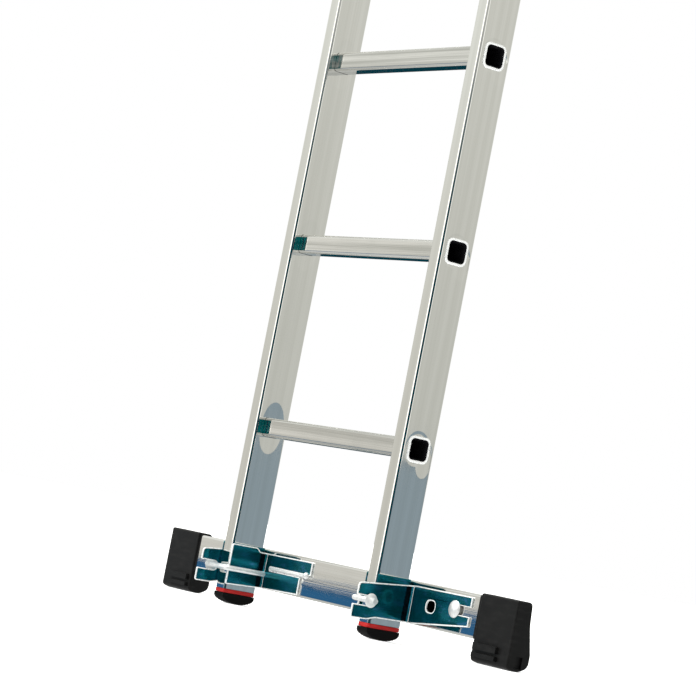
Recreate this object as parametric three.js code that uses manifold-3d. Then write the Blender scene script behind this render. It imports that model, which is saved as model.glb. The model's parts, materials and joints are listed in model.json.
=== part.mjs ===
// Two-section aluminium extension ladder with a clamped stabiliser bar.
// Millimetres, +Z up along the stiles, +X right along the rungs, -Y towards the climber.
// The origin is on the floor, in the middle of the ladder's box.
import * as THREE from "three";
import { mergeVertices } from "three/addons/utils/BufferGeometryUtils.js";
import Module from "manifold-3d";

const wasm = await Module();
wasm.setup();

// ---- driving dimensions -------------------------------------------------------------------
const GAP = 0.3; // clearance between pieces that touch

const RUNG_PITCH = 280;
const RUNG_COUNT = 8;
const FIRST_RUNG = 268.5; // height of the lowest rung's centre
const RUNG_SIZE = 28;
const RUNG_WALL = 1.8;
const RUNG_CORNER = 4;
const RUNG_FLANGE = 2; // how far the flared end stands past the hole
const FLANGE_THICKNESS = 1.2;

const LADDER_WIDTH = 400; // over the outer faces of the stiles
const STILE_WIDTH = 25;
const STILE_DEPTH = 56;
const STILE_WALL = 2;
const STILE_CORNER = 2.5;
const STILE_BOTTOM = 21.5;
const STILE_TOP_MARGIN = 150; // above the highest rung's centre

const SECTION_GAP = 6; // between the two sections
const FLY_RAISED = 4 * RUNG_PITCH; // how far the fly section is raised at rest
const FLY_STOWED_BOTTOM = 130; // the fly section's lowest end when it is right down

const SOLE_HEIGHT = 15;
const SOLE_FLAT = 18; // width of the sole's flat middle
const SOLE_EDGE = 10; // height of the rocker at its front and back edges
const COLLAR_HEIGHT = 5.9;
const PLUG_LENGTH = 28;
const PLUG_WIDTH = 18;
const PLUG_DEPTH = 48;
const CAP_HEIGHT = 5;

const PLATE = 3; // thickness of the guides and lock plates
const SHEET = 2.4; // thickness of the clamp's saddles and brackets
const BAR_HEIGHT = 60;
const BAR_DEPTH = 20;
const BAR_WALL = 2.5;
const BAR_CORNER = 4;
const BAR_BOTTOM = 30.5;
const BAR_SETBACK = 4; // from the stile's back face to the bar's front face
const BAR_HALF_LENGTH = 438;

const FOOT_INNER = 363; // where the end foot starts along the bar
const FOOT_OUTER = 444;
const FOOT_TOP = 93.5;
const FOOT_FRONT_WALL = 3;
const FOOT_TOP_DEPTH = 25.5;
const FOOT_BASE_DEPTH = 37;

const SADDLE_REACH = 2.5; // how far the saddle's sides reach past the stile's front face
const LONG_LEG = 142; // bracket leg along the bar, from the stile's side face
const SHORT_LEG = 72;
const LONG_LEG_RISE = 13; // how far the long leg's bottom edge rises towards its end
const INNER_LEG = 129;
const INNER_LEG_RISE = 3;
const INNER_LEG_STEP = 26; // how much shorter the inner leg is below its slot
const OUTER_REACH = 36; // how far a stile leg reaches past the stile's front face
const INNER_REACH = 3;
const INNER_LEG_TOP = 89.5; // the inner stile leg's top edge, just under the saddle's
const FORK_DROOP = 0.095; // how much the outer stile leg's top edge falls per millimetre forwards
const FORK_SLOT = 13;
const LEG_BOTTOM = 31;
const LEG_TOP = 84;
const HOOK_RADIUS = 4;
const RAIL_RADIUS = 3.9; // the rail in the inner bracket's long slot
const HOOK_HEIGHT = 52;
const HOOK_SETBACK = 9; // from the stile's front face to the hook's cross piece
const HOOK_SIDE = 11; // from the stile's inner face to the hook's shank
const HOOK_BEND = 8;
const HOOK_TAIL = 16; // how far the hook's shank stands out behind the bar

const LOCK_THICKNESS = 6;
const LOCK_PIVOT_RISE = 34; // above the rung's centre
const LOCK_PIVOT_SETBACK = 14; // in front of the fly stile's back face

// ---- derived places -----------------------------------------------------------------------
const STILE_OUTER = LADDER_WIDTH / 2;
const STILE_INNER = STILE_OUTER - STILE_WIDTH;
const STILE_CENTRE = STILE_OUTER - STILE_WIDTH / 2;
const HALF_DEPTH = STILE_DEPTH / 2;
const TOP_RUNG = FIRST_RUNG + (RUNG_COUNT - 1) * RUNG_PITCH;
const BASE_TOP = TOP_RUNG + STILE_TOP_MARGIN;
const FLY_Y = -(STILE_DEPTH + SECTION_GAP);
const FLY_BOTTOM = FLY_STOWED_BOTTOM + FLY_RAISED;
const FLY_TOP = BASE_TOP + FLY_RAISED;
const FLY_FIRST_RUNG = FIRST_RUNG + FLY_RAISED;
const BAR_FRONT = HALF_DEPTH + BAR_SETBACK;
const BAR_BACK = BAR_FRONT + BAR_DEPTH;
const BAR_TOP = BAR_BOTTOM + BAR_HEIGHT;
const BAR_MIDDLE = BAR_BOTTOM + BAR_HEIGHT / 2;

// The box runs from the fly section's guides to the tails of the hook bolts.
const BOX_FRONT = FLY_Y - HALF_DEPTH - GAP - PLATE;
const BOX_BACK = BAR_BACK + HOOK_TAIL;
const ORIGIN_SHIFT = -(BOX_FRONT + BOX_BACK) / 2;

// ---- materials ----------------------------------------------------------------------------
const finishes = {
  aluminium: { color: 0xc9c8c0, roughness: 0.42, metalness: 0.9 },
  zincPlate: { color: 0x2f6a74, roughness: 0.25, metalness: 1.0 },
  brightSteel: { color: 0xdfe3e4, roughness: 0.2, metalness: 1.0 },
  blackPlastic: { color: 0x1e1e1e, roughness: 0.6, metalness: 0.0 },
  blackRubber: { color: 0x121212, roughness: 0.8, metalness: 0.0 },
  redPlastic: { color: 0xb8241f, roughness: 0.45, metalness: 0.0 },
};

const ladder = new THREE.Group();
ladder.position.y = ORIGIN_SHIFT;

function addPiece(name, geometry, finish) {
  const mesh = new THREE.Mesh(geometry, new THREE.MeshStandardMaterial(finishes[finish]));
  mesh.name = name;
  ladder.add(mesh);
  return mesh;
}

// ---- solids -------------------------------------------------------------------------------
function toSolid(geometry) {
  const bare = geometry.clone();
  bare.deleteAttribute("normal");
  bare.deleteAttribute("uv");
  const merged = mergeVertices(bare, 1e-4);
  const mesh = new wasm.Mesh({
    numProp: 3,
    vertProperties: new Float32Array(merged.attributes.position.array),
    triVerts: new Uint32Array(merged.index.array),
  });
  return new wasm.Manifold(mesh);
}

function toGeometry(solid) {
  const mesh = solid.getMesh();
  const geometry = new THREE.BufferGeometry();
  geometry.setAttribute("position", new THREE.BufferAttribute(mesh.vertProperties.slice(), 3));
  geometry.setIndex(new THREE.BufferAttribute(mesh.triVerts.slice(), 1));
  geometry.computeVertexNormals();
  return geometry;
}

function cut(geometry, ...tools) {
  let solid = toSolid(geometry);
  for (const tool of tools) {
    solid = solid.subtract(toSolid(tool));
  }
  return toGeometry(solid);
}

function join(geometry, ...others) {
  let solid = toSolid(geometry);
  for (const other of others) {
    solid = solid.add(toSolid(other));
  }
  return toGeometry(solid);
}

// Where a drawn outline's two directions and its extrusion go. An outline is drawn in
// (X, Y) for axis z, in (Y, Z) for axis x and in (X, Z) for axis y.
const turns = {
  z: new THREE.Matrix4(),
  x: new THREE.Matrix4().makeBasis(
    new THREE.Vector3(0, 1, 0), new THREE.Vector3(0, 0, 1), new THREE.Vector3(1, 0, 0)),
  y: new THREE.Matrix4().makeBasis(
    new THREE.Vector3(1, 0, 0), new THREE.Vector3(0, 0, 1), new THREE.Vector3(0, -1, 0)),
};

// A prism with the given outline between two places on an axis, with optional holes.
function prism(axis, outline, from, to, holes = []) {
  const toVectors = (points) => points.map(([a, b]) => new THREE.Vector2(a, b));
  const shape = new THREE.Shape(toVectors(outline));
  shape.holes = holes.map((hole) => new THREE.Path(toVectors(hole)));
  const geometry = new THREE.ExtrudeGeometry(shape, { depth: to - from, bevelEnabled: false });
  // Axis y is extruded towards -Y, so it starts from its far end.
  geometry.translate(0, 0, axis === "y" ? -to : from);
  geometry.applyMatrix4(turns[axis]);
  return geometry;
}

function rectangle(a0, b0, a1, b1) {
  return [[a0, b0], [a1, b0], [a1, b1], [a0, b1]];
}

// A rectangle with rounded corners, centred on (a, b).
function roundedRectangle(a, b, width, height, radius, steps = 2) {
  const points = [];
  const corners = [[1, -1, -90], [1, 1, 0], [-1, 1, 90], [-1, -1, 180]];
  for (const [sideA, sideB, start] of corners) {
    for (let step = 0; step <= steps; step += 1) {
      const angle = THREE.MathUtils.degToRad(start + (90 * step) / steps);
      points.push([
        a + sideA * (width / 2 - radius) + radius * Math.cos(angle),
        b + sideB * (height / 2 - radius) + radius * Math.sin(angle),
      ]);
    }
  }
  return points;
}

function circle(a, b, radius, steps = 16) {
  return Array.from({ length: steps }, (_, step) => {
    const angle = (2 * Math.PI * step) / steps;
    return [a + radius * Math.cos(angle), b + radius * Math.sin(angle)];
  });
}

// The two ends of a span on the ladder's left (-1) or right (1) side, lowest first.
function mirroredSpan(side, from, to) {
  return [side * from, side * to].sort((a, b) => a - b);
}

// ---- ladder sections ----------------------------------------------------------------------
// A rounded box section with a hole through both wide faces at each rung.
function addStile(name, x, y, bottom, top, firstRung) {
  const outline = roundedRectangle(x, y, STILE_WIDTH, STILE_DEPTH, STILE_CORNER, 3);
  const bore = roundedRectangle(
    x, y, STILE_WIDTH - 2 * STILE_WALL, STILE_DEPTH - 2 * STILE_WALL, STILE_CORNER - 1.5, 1);
  const tube = prism("z", outline, bottom, top, [bore]);
  const size = RUNG_SIZE + 2 * GAP;
  const holes = [];
  for (let index = 0; index < RUNG_COUNT; index += 1) {
    const z = firstRung + index * RUNG_PITCH;
    const hole = roundedRectangle(y, z, size, size, RUNG_CORNER);
    holes.push(prism("x", hole, x - STILE_WIDTH, x + STILE_WIDTH));
  }
  return addPiece(name, cut(tube, ...holes), "aluminium");
}

// A square tube through both stiles, with its ends flared outside them.
function addRung(name, y, z) {
  const end = STILE_OUTER + GAP + FLANGE_THICKNESS;
  const square = (size) => roundedRectangle(y, z, size, size, RUNG_CORNER);
  const bore = RUNG_SIZE - 2 * RUNG_WALL;
  const flange = square(RUNG_SIZE + 2 * RUNG_FLANGE);
  const outer = join(
    prism("x", square(RUNG_SIZE), -end, end),
    prism("x", flange, -end, FLANGE_THICKNESS - end),
    prism("x", flange, end - FLANGE_THICKNESS, end),
  );
  const through = roundedRectangle(y, z, bore, bore, RUNG_CORNER - RUNG_WALL, 2);
  return addPiece(name, cut(outer, prism("x", through, -end - 1, end + 1)), "aluminium");
}

// The outline of the plug that holds a foot or a cap in a stile.
function plugOutline(x, y, clearance) {
  const halfWidth = PLUG_WIDTH / 2 + clearance;
  const halfDepth = PLUG_DEPTH / 2 + clearance;
  return rectangle(x - halfWidth, y - halfDepth, x + halfWidth, y + halfDepth);
}

// A plastic plug in a stile's open end, with a lip as wide as the stile.
function addEndCap(name, x, y, z, up) {
  const lip = roundedRectangle(x, y, STILE_WIDTH, STILE_DEPTH, STILE_CORNER, 2);
  const shank = plugOutline(x, y, 0);
  const lipStart = z + up * GAP;
  const lipEnd = lipStart + up * CAP_HEIGHT;
  const plugEnd = z - up * PLUG_LENGTH;
  const geometry = join(
    prism("z", lip, Math.min(lipStart, lipEnd), Math.max(lipStart, lipEnd)),
    prism("z", shank, Math.min(lipStart + up, plugEnd), Math.max(lipStart + up, plugEnd)),
  );
  return addPiece(name, geometry, "blackPlastic");
}

// ---- ladder feet --------------------------------------------------------------------------
function addSole(name, x) {
  const radius = (HALF_DEPTH ** 2 - (SOLE_FLAT / 2) ** 2) / (2 * SOLE_EDGE);
  const edge = [];
  for (let step = 0; step <= 6; step += 1) {
    const y = SOLE_FLAT / 2 + ((HALF_DEPTH - SOLE_FLAT / 2) * step) / 6;
    edge.push([y, (y ** 2 - (SOLE_FLAT / 2) ** 2) / (2 * radius)]);
  }
  const back = edge.slice();
  const front = edge.map(([y, z]) => [-y, z]).reverse();
  const profile = [...front, ...back, [HALF_DEPTH, SOLE_HEIGHT], [-HALF_DEPTH, SOLE_HEIGHT]];
  const rocker = prism("x", profile, x - STILE_WIDTH / 2, x + STILE_WIDTH / 2);
  const plug = prism("z", plugOutline(x, 0, 0), SOLE_HEIGHT - 2, STILE_BOTTOM + PLUG_LENGTH);
  return addPiece(name, join(rocker, plug), "blackRubber");
}

function addCollar(name, x) {
  const outline = roundedRectangle(x, 0, STILE_WIDTH, STILE_DEPTH, STILE_CORNER, 2);
  const hole = plugOutline(x, 0, GAP);
  const bottom = SOLE_HEIGHT + GAP;
  return addPiece(name, prism("z", outline, bottom, bottom + COLLAR_HEIGHT, [hole]), "redPlastic");
}

// ---- stabiliser bar and its end feet ------------------------------------------------------
const barMiddleY = BAR_FRONT + BAR_DEPTH / 2;
const hookX = STILE_INNER - HOOK_SIDE;
const outerBolt = { x: 311, z: 64, head: 12 };
const innerBolt = { x: -52, z: 64, head: 5, railStart: -150 };

function barSection(grow) {
  const depth = BAR_DEPTH + 2 * grow;
  const height = BAR_HEIGHT + 2 * grow;
  return roundedRectangle(barMiddleY, BAR_MIDDLE, depth, height, BAR_CORNER);
}

function addStabiliserBar() {
  const bore = roundedRectangle(
    barMiddleY, BAR_MIDDLE, BAR_DEPTH - 2 * BAR_WALL, BAR_HEIGHT - 2 * BAR_WALL, 1.5, 2);
  const tube = prism("x", barSection(0), -BAR_HALF_LENGTH, BAR_HALF_LENGTH, [bore]);
  const holes = [];
  for (const x of [-hookX, hookX]) {
    holes.push(prism("y", circle(x, HOOK_HEIGHT, HOOK_RADIUS + 0.5), BAR_FRONT - 5, BAR_BACK + 5));
  }
  for (const bolt of [outerBolt, innerBolt]) {
    holes.push(prism("y", circle(bolt.x, bolt.z, 4.4, 12), BAR_FRONT - 5, BAR_BACK + 5));
  }
  return addPiece("stabiliser_bar", cut(tube, ...holes), "aluminium");
}

// A boot over the bar's end: upright in front, flaring backwards, on a rounded sole.
function addEndFoot(name, side) {
  const front = BAR_FRONT - FOOT_FRONT_WALL;
  const profile = [
    [front, 6], [front + 3, 3], [front + 8, 0.8], [front + 12, 0], [front + 22, 0],
    [front + 29, 2.6], [front + 34, 7], [front + FOOT_BASE_DEPTH, 13],
    [front + FOOT_BASE_DEPTH, 24], [front + FOOT_TOP_DEPTH + 4, 58],
    [front + FOOT_TOP_DEPTH, FOOT_TOP - 3], [front + FOOT_TOP_DEPTH - 2, FOOT_TOP],
    [front + 2, FOOT_TOP], [front, FOOT_TOP - 2],
  ];
  const pocketEnd = BAR_HALF_LENGTH + GAP;
  const slotOutline = rectangle(front - 5, 17, front + 6, 26);
  const notchOutline = rectangle(front + 14, 8, front + 27, 18);
  const body = prism("x", profile, ...mirroredSpan(side, FOOT_INNER, FOOT_OUTER));
  const pocket = prism("x", barSection(GAP), ...mirroredSpan(side, FOOT_INNER - 5, pocketEnd));
  const slot = prism("x", slotOutline, ...mirroredSpan(side, FOOT_INNER - 5, FOOT_OUTER - 4));
  const notch = prism("x", notchOutline, ...mirroredSpan(side, FOOT_OUTER - 4, FOOT_OUTER + 6));
  return addPiece(name, cut(body, pocket, slot, notch), "blackPlastic");
}

// ---- clamps -------------------------------------------------------------------------------
// The U-shaped saddle holds the stile's sides and keeps its back off the bar.
function addSaddle(name, side) {
  const inner = STILE_INNER - GAP;
  const outer = STILE_OUTER + GAP;
  const front = -(HALF_DEPTH + SADDLE_REACH);
  const back = HALF_DEPTH + GAP;
  const outline = [
    [inner, front], [inner, back], [outer, back], [outer, front],
    [outer + SHEET, front], [outer + SHEET, back + SHEET - 1], [outer + SHEET - 1, back + SHEET],
    [inner - SHEET + 1, back + SHEET], [inner - SHEET, back + SHEET - 1], [inner - SHEET, front],
  ].map(([x, y]) => [side * x, y]);
  return addPiece(name, prism("z", outline, BAR_BOTTOM, BAR_TOP), "zincPlate");
}

// One angle bracket. Its stile leg runs along the stile's side, and its bar leg along the bar's
// front face. An outer bracket's stile leg ends in a fork past the stile's front face.
// stile: -1 or 1; outside: 1 on the stile's outer side, -1 on its inner side.
// legRise: how far the bar leg's bottom edge rises towards its end.
function addBracket(name, stile, outside, legLength, legRise, legCuts) {
  const saddleFace = outside > 0 ? STILE_OUTER + GAP + SHEET : STILE_INNER - GAP - SHEET;
  const near = saddleFace + outside * GAP;
  const far = near + outside * SHEET;
  const legBack = BAR_FRONT - GAP;
  const legFront = legBack - SHEET;
  const outline = outside > 0 ? outerLegOutline(legBack) : innerLegOutline(legBack);
  const stileLeg = prism("x", outline, ...mirroredSpan(stile, near, far));
  const start = stile * near;
  const way = stile * outside;
  const end = start + way * legLength;
  const endBottom = LEG_BOTTOM + legRise;
  const barLeg = [
    [start, LEG_BOTTOM], [end - way * 2, endBottom], [end, endBottom + 2],
    [end, LEG_TOP - 1], [end - way * 2, LEG_TOP + 1], [start, LEG_TOP],
  ];
  const flat = prism("y", barLeg, legFront, legBack);
  const tools = [...legCuts];
  if (outside > 0) {
    tools.push(prism("x", forkSlot(), -300, 300));
  } else {
    tools.push(prism("y", circle(stile * hookX, HOOK_HEIGHT, HOOK_RADIUS + 0.5), 0, 50));
  }
  return addPiece(name, cut(join(stileLeg, flat), ...tools), "zincPlate");
}

// The outer stile leg, in Y and Z: it droops forwards to the fork's two lobes.
function outerLegOutline(back) {
  const tip = -(HALF_DEPTH + OUTER_REACH);
  const droop = (y) => (back - y) * FORK_DROOP;
  const bottomTip = LEG_BOTTOM - droop(tip) * 0.6;
  const topTip = LEG_TOP - droop(tip);
  return [
    [back, LEG_BOTTOM], [-24, LEG_BOTTOM - droop(-24) * 0.8], [-34, 29.5 - droop(-34) * 0.6],
    [tip + 1.5, bottomTip], [tip, bottomTip + 1.5],
    [tip, topTip - 1.5], [tip + 1.5, topTip], [back, LEG_TOP],
  ];
}

// The inner stile leg, in Y and Z: it stops behind the hook's cross piece.
function innerLegOutline(back) {
  const tip = -(HALF_DEPTH + INNER_REACH);
  return [
    [back, LEG_BOTTOM], [tip + 2, LEG_BOTTOM - 3], [tip, LEG_BOTTOM - 1],
    [tip, INNER_LEG_TOP - 2], [tip + 2, INNER_LEG_TOP],
    [HALF_DEPTH - 14, INNER_LEG_TOP], [HALF_DEPTH - 8, LEG_TOP], [back, LEG_TOP],
  ];
}

// The slot between a fork's lobes, open forwards, in Y and Z.
function forkSlot() {
  const open = -(HALF_DEPTH + OUTER_REACH + 5);
  const low = HOOK_HEIGHT - 1 - FORK_SLOT / 2;
  const high = low + FORK_SLOT;
  const end = -(HALF_DEPTH + HOOK_SETBACK) + FORK_SLOT / 2;
  return [
    [open, low], [end - 4, low], [end, low + 3.5], [end, high - 2.5], [end - 4, high], [open, high],
  ];
}

// The outer bracket on the right has an oblong hole, and an open slot that holds its bolt.
function outerLegCuts() {
  const hole = roundedRectangle(256, 60, 20, 16, 7.9, 4);
  const slot = rectangle(outerBolt.x - 5, outerBolt.z - 6.5, 400, outerBolt.z + 6.5);
  return [prism("y", hole, 0, 50), prism("y", slot, 0, 50)];
}

// The inner bracket on the left has one long slot, open at its end, and is shorter below it.
function innerLegCuts() {
  const slotLow = innerBolt.z - 4.6;
  const slot = rectangle(-152, slotLow, 0, innerBolt.z + 4.6);
  const end = -(STILE_INNER - 2 * GAP - SHEET) + INNER_LEG;
  const step = rectangle(end - INNER_LEG_STEP, 0, 0, slotLow + 1);
  return [prism("y", slot, 0, 50), prism("y", step, 0, 50)];
}

// A tie rod with a hooked end: the shank runs back through the bar beside the stile, and the
// cross piece lies in front of the stile, in the slots of both forks.
function addHookBolt(name, side) {
  const crossY = -(HALF_DEPTH + HOOK_SETBACK);
  const crossEnd = STILE_OUTER + 2 * PLATE + 3;
  const path = new THREE.CurvePath();
  const point = (x, y) => new THREE.Vector3(side * x, y, HOOK_HEIGHT);
  const bendStart = point(hookX, crossY + HOOK_BEND);
  const bendEnd = point(hookX + HOOK_BEND, crossY);
  path.add(new THREE.LineCurve3(point(hookX, BOX_BACK), bendStart));
  path.add(new THREE.QuadraticBezierCurve3(bendStart, point(hookX, crossY), bendEnd));
  path.add(new THREE.LineCurve3(bendEnd, point(crossEnd + 12, crossY)));
  const section = new THREE.Shape(circle(0, 0, HOOK_RADIUS, 10).map(([a, b]) => new THREE.Vector2(a, b)));
  const rod = new THREE.ExtrudeGeometry(section, { extrudePath: path, steps: 22 });
  const head = circle(crossY, HOOK_HEIGHT, 10, 20);
  const disc = prism("x", head, ...mirroredSpan(side, crossEnd, crossEnd + 3));
  return addPiece(name, join(rod, disc), "brightSteel");
}

// A nut with two wings behind the bar.
function addWingNut(name, x) {
  const start = BAR_BACK + GAP;
  const hub = circle(x, HOOK_HEIGHT, 8, 16);
  const wings = [
    [x - 22, HOOK_HEIGHT + 9], [x - 24, HOOK_HEIGHT + 5], [x - 22, HOOK_HEIGHT], [x - 7, HOOK_HEIGHT - 4],
    [x + 7, HOOK_HEIGHT - 4], [x + 22, HOOK_HEIGHT], [x + 24, HOOK_HEIGHT + 5], [x + 22, HOOK_HEIGHT + 9],
    [x + 15, HOOK_HEIGHT + 7], [x, HOOK_HEIGHT + 5], [x - 15, HOOK_HEIGHT + 7],
  ];
  const body = join(prism("y", hub, start, start + 10), prism("y", wings, start + 3, start + 8));
  const bore = prism("y", circle(x, HOOK_HEIGHT, HOOK_RADIUS + GAP), start - 5, start + 20);
  return addPiece(name, cut(body, bore), "brightSteel");
}

// A round-headed bolt through a bracket's bar leg and the bar, and the nut behind it.
function addBarBolt(label, bolt) {
  const legFront = BAR_FRONT - GAP - SHEET;
  const dome = new THREE.LatheGeometry([
    new THREE.Vector2(0, 0), new THREE.Vector2(bolt.head, 0), new THREE.Vector2(bolt.head, 1),
    new THREE.Vector2(bolt.head * 0.8, 3.4), new THREE.Vector2(bolt.head * 0.45, 4.6),
    new THREE.Vector2(0, 5),
  ], 20);
  dome.rotateX(Math.PI);
  dome.translate(bolt.x, legFront - GAP, bolt.z);
  const shank = prism("y", circle(bolt.x, bolt.z, 4, 12), legFront - 2, BAR_BACK + 11);
  const pieces = [dome, shank];
  if (bolt.railStart) {
    // A round rail under the head fills the bracket's slot in front of the bar.
    const rail = circle(BAR_FRONT - GAP - RAIL_RADIUS, bolt.z, RAIL_RADIUS);
    pieces.push(prism("x", rail, bolt.railStart, bolt.x));
  }
  addPiece(`${label}_bolt`, join(...pieces), "brightSteel");
  const nutStart = BAR_BACK + GAP;
  const hexagon = circle(bolt.x, bolt.z, 7.5, 6);
  const hole = circle(bolt.x, bolt.z, 4 + GAP, 12);
  addPiece(`${label}_nut`, prism("y", hexagon, nutStart, nutStart + 6.5, [hole]), "brightSteel");
}

// ---- fly section guides and rung locks ----------------------------------------------------
// A guide is fixed to one section's outer face and laps round the other section's far face.
function addGuide(name, side, ownY, otherY, bottom) {
  const way = Math.sign(otherY - ownY);
  const faceX = STILE_OUTER + GAP;
  const clearX = STILE_OUTER + 4;
  const outerX = clearX + PLATE;
  const lipNear = otherY + way * (HALF_DEPTH + GAP);
  const lipFar = lipNear + way * PLATE;
  const lipX = STILE_OUTER - 11;
  const outline = [
    [faceX, ownY - way * 22], [outerX, ownY - way * 22], [outerX, lipFar], [lipX, lipFar],
    [lipX, lipNear], [clearX, lipNear], [clearX, ownY + way * 22], [faceX, ownY + way * 22],
  ].map(([x, y]) => [side * x, y]);
  return addPiece(name, prism("z", outline, bottom, bottom + 45), "zincPlate");
}

// A plate on the fly stile's inner face with a welded stud for the rung lock.
function addLockPlate(name, side, pivotY, pivotZ) {
  const face = STILE_INNER - GAP;
  const inner = face - PLATE;
  const outline = roundedRectangle(FLY_Y + 4, pivotZ + 6, 42, 44, 5);
  const stud = circle(pivotY, pivotZ, 4, 12);
  const washer = circle(pivotY, pivotZ, 8, 16);
  const studEnd = inner - 2 * GAP - LOCK_THICKNESS;
  const geometry = join(
    prism("x", outline, ...mirroredSpan(side, inner, face)),
    prism("x", stud, ...mirroredSpan(side, studEnd - 2, face - 1)),
    prism("x", washer, ...mirroredSpan(side, studEnd - 2.5, studEnd)),
  );
  return addPiece(name, geometry, "zincPlate");
}

// The rung lock: an arm from the stud over the base section's rung, with a lip behind it.
function addRungLock(name, side, pivotY, pivotZ) {
  const rungTop = FLY_FIRST_RUNG + RUNG_SIZE / 2;
  const rungBack = RUNG_SIZE / 2;
  const under = rungTop + 1.5;
  const lip = rungBack + 1.5;
  const outline = [
    [pivotY - 9, pivotZ - 4], [pivotY - 4, pivotZ - 10], [-30, under + 2], [-16, under],
    [lip, under], [lip, under - 20], [lip + 3, under - 23], [lip + 9, under - 20],
    [lip + 9, under + 6], [lip + 3, under + 13], [pivotY + 12, pivotZ + 10],
    [pivotY, pivotZ + 12], [pivotY - 8, pivotZ + 7],
  ];
  const hole = circle(pivotY, pivotZ, 4 + GAP, 12);
  const near = STILE_INNER - GAP - PLATE - GAP;
  const spanX = mirroredSpan(side, near, near - LOCK_THICKNESS);
  return addPiece(name, prism("x", outline, ...spanX, [hole]), "zincPlate");
}

// ---- assembly -----------------------------------------------------------------------------
const sides = [["left", -1], ["right", 1]];

for (const [label, side] of sides) {
  const x = side * STILE_CENTRE;
  addStile(`base_stile_${label}`, x, 0, STILE_BOTTOM, BASE_TOP, FIRST_RUNG);
  addStile(`fly_stile_${label}`, x, FLY_Y, FLY_BOTTOM, FLY_TOP, FLY_FIRST_RUNG);
  addEndCap(`base_cap_${label}`, x, 0, BASE_TOP, 1);
  addEndCap(`fly_cap_top_${label}`, x, FLY_Y, FLY_TOP, 1);
  addEndCap(`fly_cap_bottom_${label}`, x, FLY_Y, FLY_BOTTOM, -1);
  addSole(`foot_sole_${label}`, x);
  addCollar(`foot_collar_${label}`, x);
  addEndFoot(`stabiliser_foot_${label}`, side);
  addSaddle(`clamp_saddle_${label}`, side);
  addHookBolt(`hook_bolt_${label}`, side);
  addWingNut(`wing_nut_${label}`, side * hookX);
  addGuide(`base_guide_${label}`, side, 0, FLY_Y, BASE_TOP - 50);
  addGuide(`fly_guide_${label}`, side, FLY_Y, 0, FLY_BOTTOM + 8);
  const pivotY = FLY_Y + HALF_DEPTH - LOCK_PIVOT_SETBACK;
  const pivotZ = FLY_FIRST_RUNG + LOCK_PIVOT_RISE;
  addLockPlate(`lock_plate_${label}`, side, pivotY, pivotZ);
  addRungLock(`rung_lock_${label}`, side, pivotY, pivotZ);
}

for (let index = 0; index < RUNG_COUNT; index += 1) {
  const rise = index * RUNG_PITCH;
  addRung(`base_rung_${index + 1}`, 0, FIRST_RUNG + rise);
  addRung(`fly_rung_${index + 1}`, FLY_Y, FLY_FIRST_RUNG + rise);
}

addStabiliserBar();
addBracket("outer_bracket_right", 1, 1, LONG_LEG, LONG_LEG_RISE, outerLegCuts());
addBracket("inner_bracket_right", 1, -1, SHORT_LEG, 0, []);
addBracket("outer_bracket_left", -1, 1, SHORT_LEG, 0, []);
addBracket("inner_bracket_left", -1, -1, INNER_LEG, INNER_LEG_RISE, innerLegCuts());
addBarBolt("bar_right", outerBolt);
addBarBolt("bar_left", innerBolt);

export default ladder;
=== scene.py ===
"""Extension ladder with a clamped stabiliser bar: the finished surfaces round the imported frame.

Every piece is drawn in millimetres in the frame's own axes, and place() turns it into metres.
"""
import json
import math

import bmesh
import bpy
from mathutils import Matrix, Vector


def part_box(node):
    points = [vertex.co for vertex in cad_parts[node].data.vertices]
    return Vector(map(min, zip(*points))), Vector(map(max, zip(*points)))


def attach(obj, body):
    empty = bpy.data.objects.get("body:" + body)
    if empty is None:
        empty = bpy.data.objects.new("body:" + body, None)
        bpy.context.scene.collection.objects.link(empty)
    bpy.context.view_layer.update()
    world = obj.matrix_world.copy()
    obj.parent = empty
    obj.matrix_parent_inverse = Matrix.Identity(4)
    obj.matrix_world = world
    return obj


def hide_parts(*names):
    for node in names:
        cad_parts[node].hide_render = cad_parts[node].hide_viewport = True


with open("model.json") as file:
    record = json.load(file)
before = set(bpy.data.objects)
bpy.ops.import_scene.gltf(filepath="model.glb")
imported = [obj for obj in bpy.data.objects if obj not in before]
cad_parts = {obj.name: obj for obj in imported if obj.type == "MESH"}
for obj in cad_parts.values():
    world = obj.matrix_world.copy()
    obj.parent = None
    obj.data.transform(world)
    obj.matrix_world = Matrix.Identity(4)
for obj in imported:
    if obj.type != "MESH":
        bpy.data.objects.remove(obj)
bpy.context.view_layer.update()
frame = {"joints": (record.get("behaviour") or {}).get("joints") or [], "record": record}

MM = 0.001
node_body = {
    node: body
    for body, nodes in frame["record"]["behaviour"]["bodies"].items()
    for node in nodes
}
node_slot = {part["node"]: part["material_slot"] for part in frame["record"]["subparts"]}


def box(node):
    """A CAD node's lowest and highest corners, in millimetres."""
    low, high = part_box(node)
    return Vector(low) / MM, Vector(high) / MM


def middle(node):
    low, high = box(node)
    return (low + high) / 2


# ---- driving sizes, in millimetres ------------------------------------------------------------
GAP = 0.3  # between pieces that touch
STILE_CORNER = 4
STILE_WALL = 2
RUNG_HALF = 14
RUNG_CORNER = 4
RUNG_WALL = 1.8
LIP = 4.8  # how far a rung's flared end stands past its hole
DISH_HALF_WIDTH = 20  # the pressed dish round each rung joint
DISH_HALF_HEIGHT = 40
DISH_SLOPE = 0.016
DISH_RIM = 2.2  # how far inside its border the dish reaches its full slope
PATCH_HALF_HEIGHT = 44  # the part of a wide face that is meshed round a joint
SHEET = 2.4
SHEET_EDGE = 0.5  # rounding of a cut sheet's edges
RIM_HIGHLIGHT = 1.1  # width of the painted highlight strip along a cut edge
BEND = 8  # inside radius of a bracket's bend
BEND_SHADE_END = 0.6  # how far round a bracket's bend its painted shade goes
BEND_HIGHLIGHT = (0.83, 0.92)  # where the painted highlight line runs
LEG_BOTTOM = 31
LEG_TOP = 84
FORK_DROOP = 0.095  # how much an outer bracket's top edge falls per millimetre forwards
OBLONG_HOLE = (256, 60)  # the middle of the hole in the long right leg
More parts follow.
